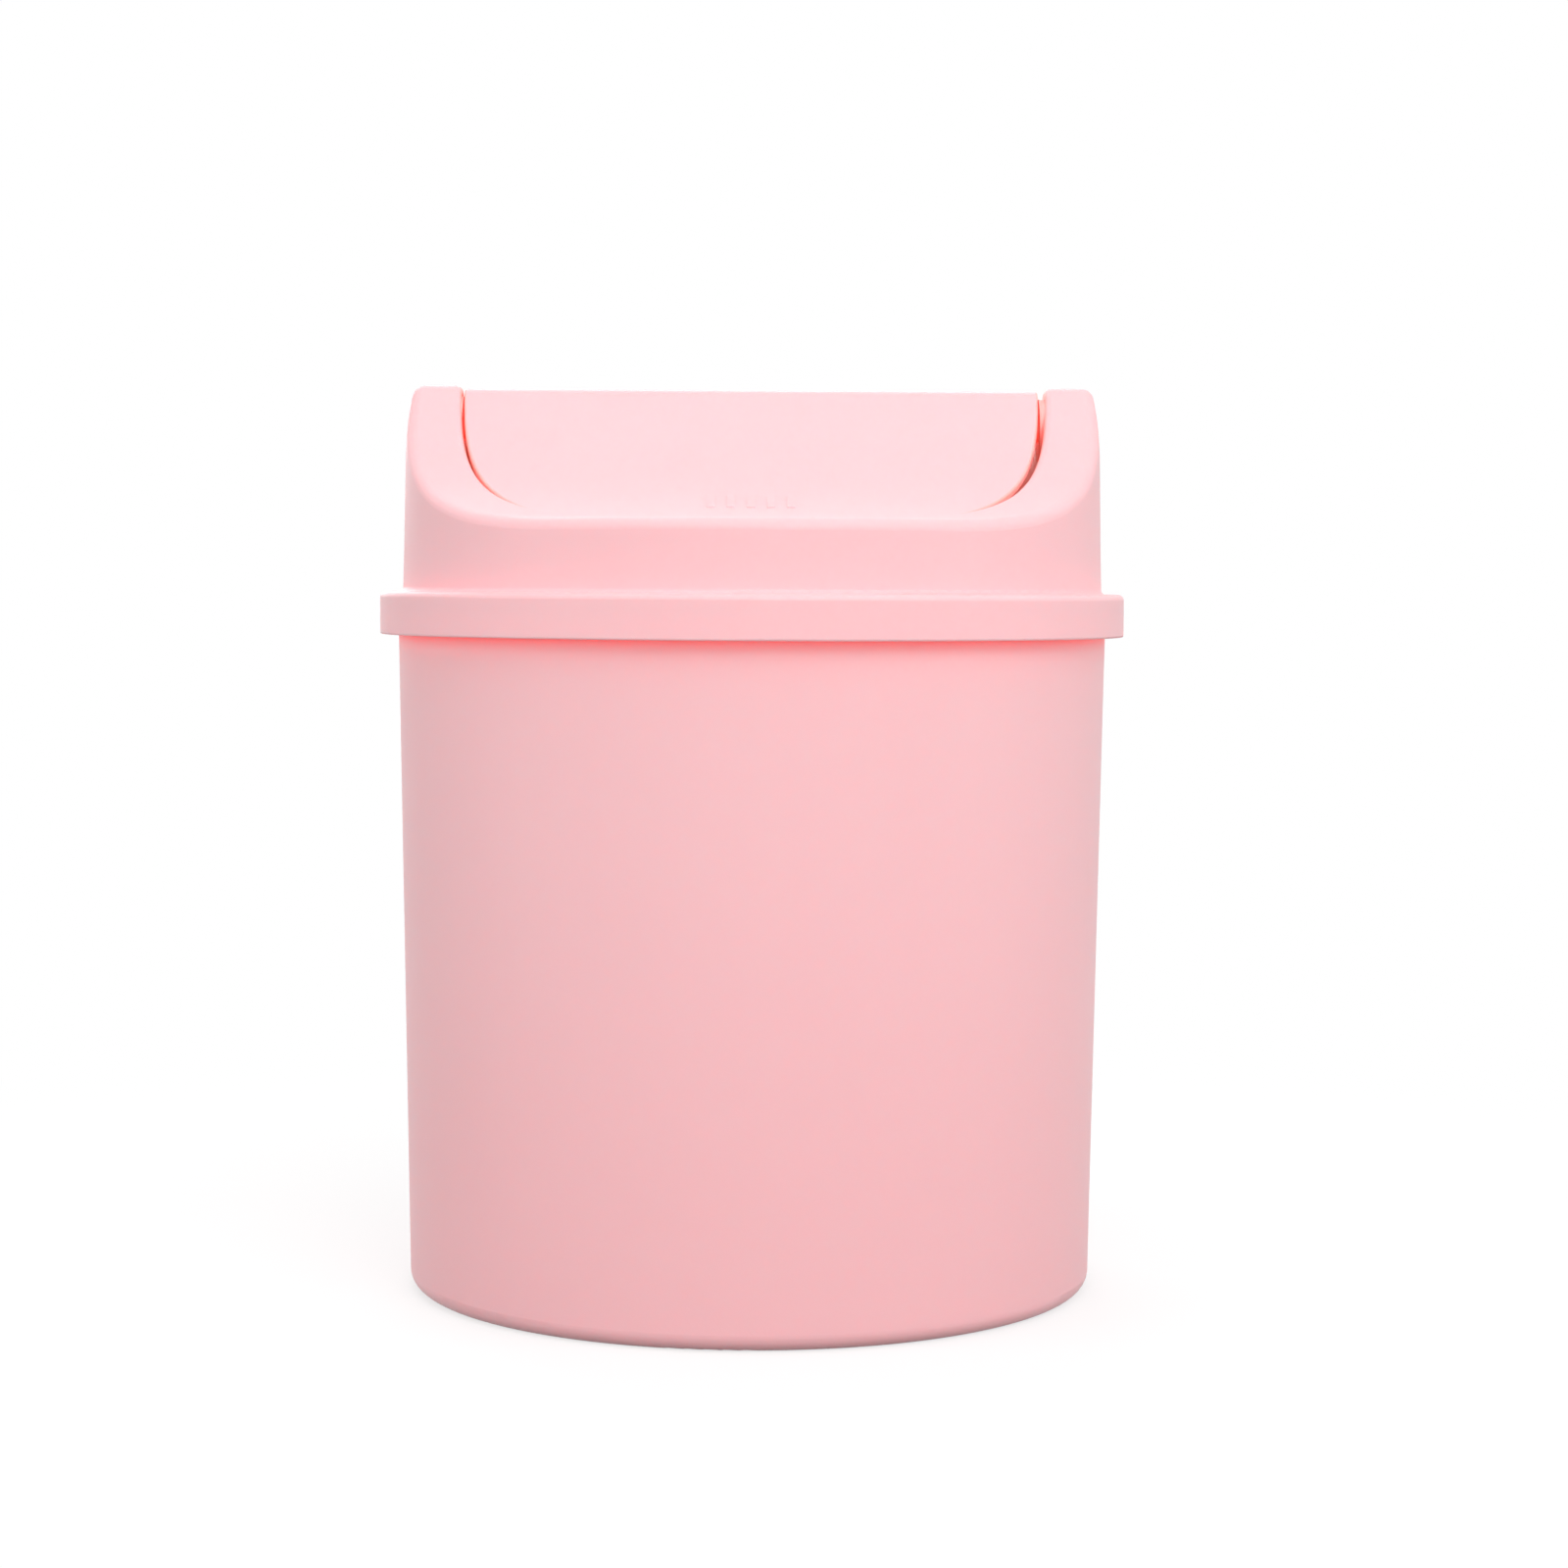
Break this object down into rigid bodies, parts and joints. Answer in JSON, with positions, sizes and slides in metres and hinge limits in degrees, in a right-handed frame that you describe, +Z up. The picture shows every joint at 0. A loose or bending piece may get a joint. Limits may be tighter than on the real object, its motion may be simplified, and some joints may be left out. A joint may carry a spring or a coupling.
{
  "type": "swing lid trash can",
  "caption": "Small round plastic desk bin: tapered bucket, lift-off lid frame with two raised ears, and a tent-shaped flap that swings both ways and closes by its own weight.",
  "frame": {"origin": "middle of the circle that the bucket stands on", "axes": "+Z up, the front of the bin towards -Y, the flap's pivot axis along X"},
  "size_m": [0.132, 0.132, 0.16],
  "materials": {
    "bucket_plastic": "satin moulded polypropylene, pale pink",
    "lid_plastic": "satin moulded polypropylene, pale pink",
    "flap_plastic": "satin moulded polypropylene, pale pink"
  },
  "bodies": {
    "bucket": {"bucket": "bucket_plastic"},
    "lid": {"lid_frame": "lid_plastic"},
    "flap": {"swing_flap": "flap_plastic"}
  },
  "joints": [
    {"name": "lid_lift", "type": "slide", "parent": "bucket", "child": "lid", "axis": [0, 0, 1], "range_m": [0, 0.06]},
    {"name": "flap_swing", "type": "hinge", "parent": "lid", "child": "flap", "pos_m": [0, 0, 0.1525], "axis": [1, 0, 0], "range_deg": [-70, 70]}
  ]
}
